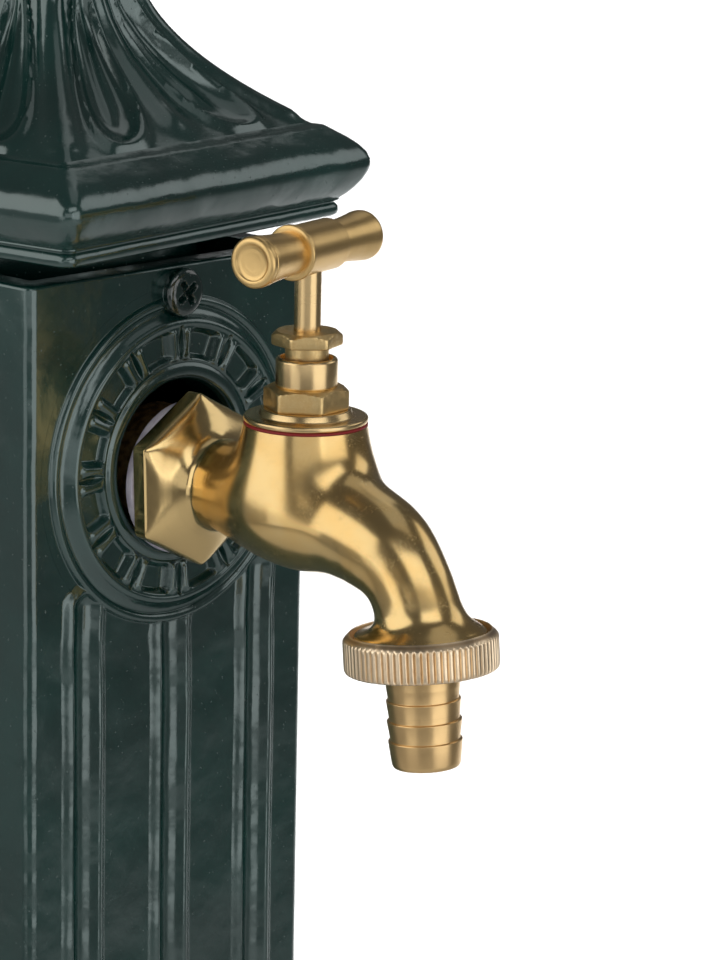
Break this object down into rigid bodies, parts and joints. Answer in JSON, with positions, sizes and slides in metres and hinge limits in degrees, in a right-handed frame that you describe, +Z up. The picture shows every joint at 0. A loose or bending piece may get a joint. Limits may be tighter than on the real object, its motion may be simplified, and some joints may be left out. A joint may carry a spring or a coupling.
{
  "type": "standing fountain",
  "caption": "Square cast garden fountain post with a moulded cap, a round rosette and a brass bib tap with a hose union.",
  "frame": {"origin": "middle of the foot plate's underside, between the four anchor holes", "axes": "+Z up along the post; -Y out of the front face, where the tap stands; +X to the right of someone who faces the tap"},
  "size_m": [0.15, 0.2107, 0.8994],
  "materials": {
    "green_enamel": "glossy bottle-green enamel on a slightly lumpy casting",
    "green_screws": "screws painted over with the enamel",
    "polished_brass": "polished brass with fine pits and turning lines",
    "rough_brass": "cast brass, as it left the mould",
    "zinc_steel": "zinc-plated steel",
    "pipe": "galvanised pipe",
    "red_fibre": "crimson fibre washer",
    "pale_seal": "pale plastic sealing ring",
    "packing": "greased yarn packing",
    "black_rubber": "moulded rubber"
  },
  "bodies": {
    "fountain": {"base_foot": "green_enamel", "post": "green_enamel", "cap": "green_enamel", "finial": "green_enamel", "finial_stud": "zinc_steel", "finial_nut": "zinc_steel", "cap_screws": "green_screws", "base_screws": "green_screws", "riser_pipe": "pipe", "inlet_coupling": "rough_brass", "elbow": "rough_brass", "pipe_clip": "zinc_steel", "plate_screws": "zinc_steel", "clip_screws": "zinc_steel", "wall_ring": "pale_seal", "tap_body": "polished_brass", "bonnet_washer": "red_fibre", "bonnet": "polished_brass", "gland_packing": "packing", "gland_nut": "polished_brass"},
    "valve_disc": {"jumper": "rough_brass", "valve_washer": "black_rubber", "valve_nut": "rough_brass"},
    "spindle": {"spindle": "polished_brass", "handle_bar": "polished_brass"},
    "hose_tail": {"hose_tail": "polished_brass", "hose_seal": "black_rubber"},
    "union_nut": {"union_nut": "polished_brass"}
  },
  "joints": [
    {"name": "valve_lift", "type": "slide", "parent": "fountain", "child": "valve_disc", "axis": [0, 0, 1], "range_m": [0, 0.00438]},
    {"name": "handle_turn", "type": "hinge", "parent": "valve_disc", "child": "spindle", "pos_m": [0, -0.0839, 0.7735], "axis": [0, 0, 1], "range_deg": [0, 900]},
    {"name": "union_travel", "type": "slide", "parent": "fountain", "child": "hose_tail", "axis": [0, -0.0941, -0.9956], "range_m": [0, 0.00272]},
    {"name": "nut_turn", "type": "hinge", "parent": "hose_tail", "child": "union_nut", "pos_m": [0, -0.11846, 0.69599], "axis": [0, -0.0941, -0.9956], "range_deg": [0, 540]}
  ],
  "couplings": [
    {"joint": "valve_lift", "follows": "handle_turn", "m_per_rad": 0.00027852},
    {"joint": "union_travel", "follows": "nut_turn", "m_per_rad": 0.0002887}
  ]
}
